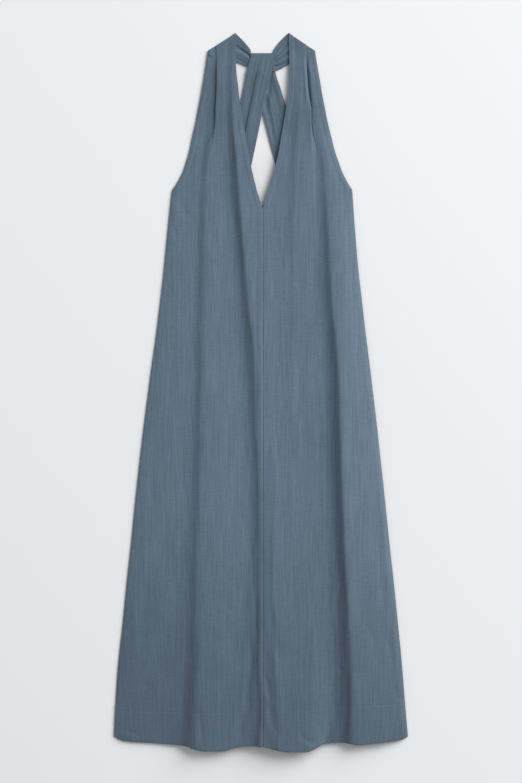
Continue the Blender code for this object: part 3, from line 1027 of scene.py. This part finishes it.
# %% A class for shader arithmetic
class Value:
    """A number in a shader. Arithmetic on it adds Math nodes."""

    def __init__(self, finish, socket):
        self.finish = finish
        self.socket = socket

    def math(self, operation, *others):
        return self.finish.maths(operation, self, *others)

    def __add__(self, other):
        return self.math("ADD", other)

    def __radd__(self, other):
        return self.math("ADD", other)

    def __sub__(self, other):
        return self.math("SUBTRACT", other)

    def __rsub__(self, other):
        return self.finish.maths("SUBTRACT", other, self)

    def __mul__(self, other):
        return self.math("MULTIPLY", other)

    def __rmul__(self, other):
        return self.math("MULTIPLY", other)


class Finish:
    """A material being mixed: one method adds any node, with its settings and then its inputs."""

    def __init__(self, name, roughness, sheen=0.0, specular=0.25):
        self.material = bpy.data.materials.new(name)
        self.material.use_nodes = True
        self.tree = self.material.node_tree
        self.shader = self.tree.nodes["Principled BSDF"]
        self.shader.inputs["Roughness"].default_value = roughness
        self.shader.inputs["Sheen Weight"].default_value = sheen
        self.shader.inputs["Sheen Roughness"].default_value = 0.5
        self.shader.inputs["Specular IOR Level"].default_value = specular

    def add(self, kind, settings=None, inputs=None):
        node = self.tree.nodes.new(kind)
        for name, value in (settings or {}).items():
            setattr(node, name, value)
        for name, value in (inputs or {}).items():
            self.feed(node.inputs[name], value)
        return node

    def feed(self, socket, value):
        if isinstance(value, Value):
            value = value.socket
        if isinstance(value, bpy.types.NodeSocket):
            self.tree.links.new(value, socket)
        else:
            socket.default_value = value

    def maths(self, operation, *values):
        node = self.add("ShaderNodeMath", {"operation": operation}, dict(enumerate(values)))
        return Value(self, node.outputs[0])

    def clothwise(self, across, along):
        """The cloth's own UV in millimetres, shrunk across and along."""
        uv = self.add("ShaderNodeUVMap", {"uv_map": "cloth_mm"})
        scaled = self.add("ShaderNodeVectorMath", {"operation": "MULTIPLY"}, {0: uv.outputs[0], 1: (1 / across, 1 / along, 1)})
        return scaled.outputs[0]

    def noise(self, across, along, detail=2.0):
        """Noise from 0 to 1 with patches of this size in millimetres."""
        node = self.add(
            "ShaderNodeTexNoise",
            {"noise_dimensions": "2D"},
            {"Vector": self.clothwise(across, along), "Scale": 1.0, "Detail": detail},
        )
        return Value(self, node.outputs[0])

    def tint(self, part, first, second):
        """A colour between two others."""
        mix = self.add("ShaderNodeMix", {"data_type": "RGBA"}, {0: part, 6: first, 7: second})
        return mix.outputs[2]

    def ramp_up_the_dress(self, low, high, at_low, at_high):
        """A value that passes softly from one to another between two heights in metres."""
        place = self.add("ShaderNodeSeparateXYZ", inputs={0: self.add("ShaderNodeTexCoord").outputs["Object"]})
        ramp = self.add(
            "ShaderNodeMapRange",
            {"interpolation_type": "SMOOTHSTEP"},
            {0: place.outputs[1], 1: low, 2: high, 3: at_low, 4: at_high},
        )
        return Value(self, ramp.outputs[0])


print("shader class ready")

# %% [markdown]
# Linen is a plain weave: each thread passes over one and under the next. Its threads are uneven, with
# thick slubs that run for a few centimetres, and they take the dye unevenly too, so the cloth shows faint
# streaks both ways. The bump holds the weave and the slubs, and the colour holds the streaks. The colour
# also holds painted shade: it is scaled darker towards the hem and towards the shoulders.

# %% The linen
THREAD = 0.6
LINEN_DARK = (0.088, 0.133, 0.184, 1.0)
LINEN_LIGHT = (0.143, 0.203, 0.266, 1.0)
# Painted shade: the two factors below darken the cloth colour towards the hem and towards the shoulders.
HEM_PAINTED_SHADE = 0.78
NECK_PAINTED_SHADE = 0.85


def linen_finish():
    finish = Finish("linen", roughness=0.74, sheen=0.06, specular=0.45)
    split = finish.add("ShaderNodeSeparateXYZ", inputs={0: finish.clothwise(THREAD / pi, THREAD / pi)})
    wobble = finish.noise(2.5, 30)
    warp = (Value(finish, split.outputs[0]) + 3 * wobble).math("SINE")
    weft = (Value(finish, split.outputs[1]) + 3 * finish.noise(30, 2.5)).math("SINE")
    weave = warp.math("ABSOLUTE") * weft.math("ABSOLUTE") + 0.35 * warp * weft
    warp_slub = finish.noise(1.7, 42)
    weft_slub = finish.noise(16, 1.8)
    streaks = finish.noise(4.5, 95) * 0.9 + finish.noise(45, 6.0) * 0.15
    patches = finish.noise(70, 110, detail=3.0)

    height = weave * 0.35 + warp_slub * 0.9 + weft_slub * 0.6
    bump = finish.add("ShaderNodeBump", inputs={"Strength": 1.0, "Distance": 0.00022, "Height": height})
    finish.feed(finish.shader.inputs["Normal"], bump.outputs[0])
    part = warp_slub * 0.85 + weft_slub * 0.6 + streaks * 0.9 + patches * 0.3 + weave * 0.12 - 0.9
    # Painted shade: soft ramps along the dress scale the colour darker towards the hem and the shoulders.
    painted_shade = finish.ramp_up_the_dress(-0.60, -0.12, HEM_PAINTED_SHADE, 1.0) * finish.ramp_up_the_dress(0.34, 0.58, 1.0, NECK_PAINTED_SHADE)
    colour = finish.tint(part, LINEN_DARK, LINEN_LIGHT)
    shade_painted_colour = finish.add("ShaderNodeVectorMath", {"operation": "SCALE"}, {0: colour, "Scale": painted_shade})
    finish.feed(finish.shader.inputs["Base Color"], shade_painted_colour.outputs[0])
    return finish.material


linen = linen_finish()
for piece in (*fronts.values(), back, band, strap):
    piece.data.materials.clear()
    piece.data.materials.append(linen)
print("linen on", len(fronts) + 3, "pieces")

# %% [markdown]
# The sewing thread is matched to the cloth, a little darker and smoother. Its twist is far too fine to
# model, so fine slanting bands along its length stand for it.

# %% The thread
THREAD_DARK = (0.080, 0.115, 0.155, 1.0)
THREAD_LIGHT = (0.125, 0.170, 0.220, 1.0)


def thread_finish():
    finish = Finish("sewing_thread", roughness=0.6)
    place = finish.add("ShaderNodeTexCoord")
    twist = finish.add(
        "ShaderNodeTexWave",
        {"wave_type": "BANDS", "bands_direction": "DIAGONAL"},
        {"Vector": place.outputs["Object"], "Scale": 900.0, "Distortion": 0.4},
    )
    part = Value(finish, twist.outputs[1])
    finish.feed(finish.shader.inputs["Base Color"], finish.tint(part, THREAD_DARK, THREAD_LIGHT))
    return finish.material


sewing_thread = thread_finish()
for piece in (topstitch, hem_stitches):
    piece.data.materials.append(sewing_thread)

# %% [markdown]
# The dress lies on a plain pale table under one large softbox high on the upper right, with soft light
# from all round. A softbox gives shadows that are dark at the cloth and fade within a few centimetres. The
# camera looks straight down through a long lens, so that the dress fills the tall frame without distortion.

# %% Table, light and camera
bpy.ops.mesh.primitive_plane_add(size=9)
table_top = bpy.context.active_object
table_top.name = "table_top"
table_finish = Finish("pale_table", roughness=0.95)
table_finish.shader.inputs["Base Color"].default_value = (0.93, 0.925, 0.925, 1.0)
table_top.data.materials.append(table_finish.material)

KEY_PLACE = Vector((7.0, 5.9, 4.8))
bpy.ops.object.light_add(type="AREA", location=KEY_PLACE)
key = bpy.context.active_object
key.name = "softbox"
key.rotation_euler = KEY_PLACE.to_track_quat("Z", "Y").to_euler()
key.data.shape = "SQUARE"
key.data.size = 8.0
key.data.energy = 1465

world = bpy.data.worlds.new("room")
bpy.context.scene.world = world
world.use_nodes = True
sky = world.node_tree.nodes["Background"].inputs
sky["Color"].default_value = (0.96, 0.985, 1.02, 1.0)
sky["Strength"].default_value = 0.37

bpy.ops.object.camera_add(location=(-0.001, 0.0017, 3.6), rotation=(0, 0, 0))
camera = bpy.context.active_object
camera.data.lens = 92.93
camera.data.clip_end = 50
bpy.context.scene.camera = camera
bpy.context.scene.view_settings.view_transform = "Standard"
print("camera height:", camera.location.z, "softbox energy:", key.data.energy)
